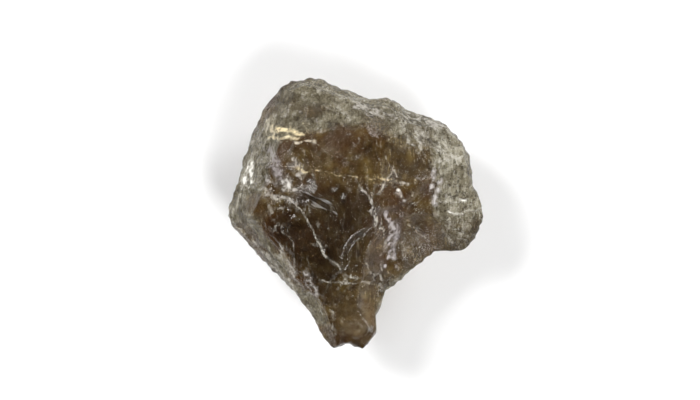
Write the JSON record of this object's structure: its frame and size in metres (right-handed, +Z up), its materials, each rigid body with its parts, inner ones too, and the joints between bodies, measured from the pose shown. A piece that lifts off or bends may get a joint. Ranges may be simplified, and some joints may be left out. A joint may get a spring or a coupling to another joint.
{
  "type": "rough smoky quartz crystal",
  "caption": "Raw chunk of smoky quartz, see-through brown, broken all round into flat and shell-shaped breaks, with a blunt tail at one end, lying on its flattest break.",
  "frame": {"origin": "on the surface the stone lies on, under the middle of its bounding box in plan", "axes": "+Z up out of the resting face, +Y along the longer side of the plan, away from the tail, +X towards the rounded lobe"},
  "size_m": [0.0513, 0.0544, 0.0249],
  "materials": {
    "smoky_quartz": "glassy on fresh breaks, frosted along ridges and the rim, see-through smoky brown"
  },
  "bodies": {
    "root": {"smoky_quartz": "smoky_quartz"}
  },
  "joints": []
}
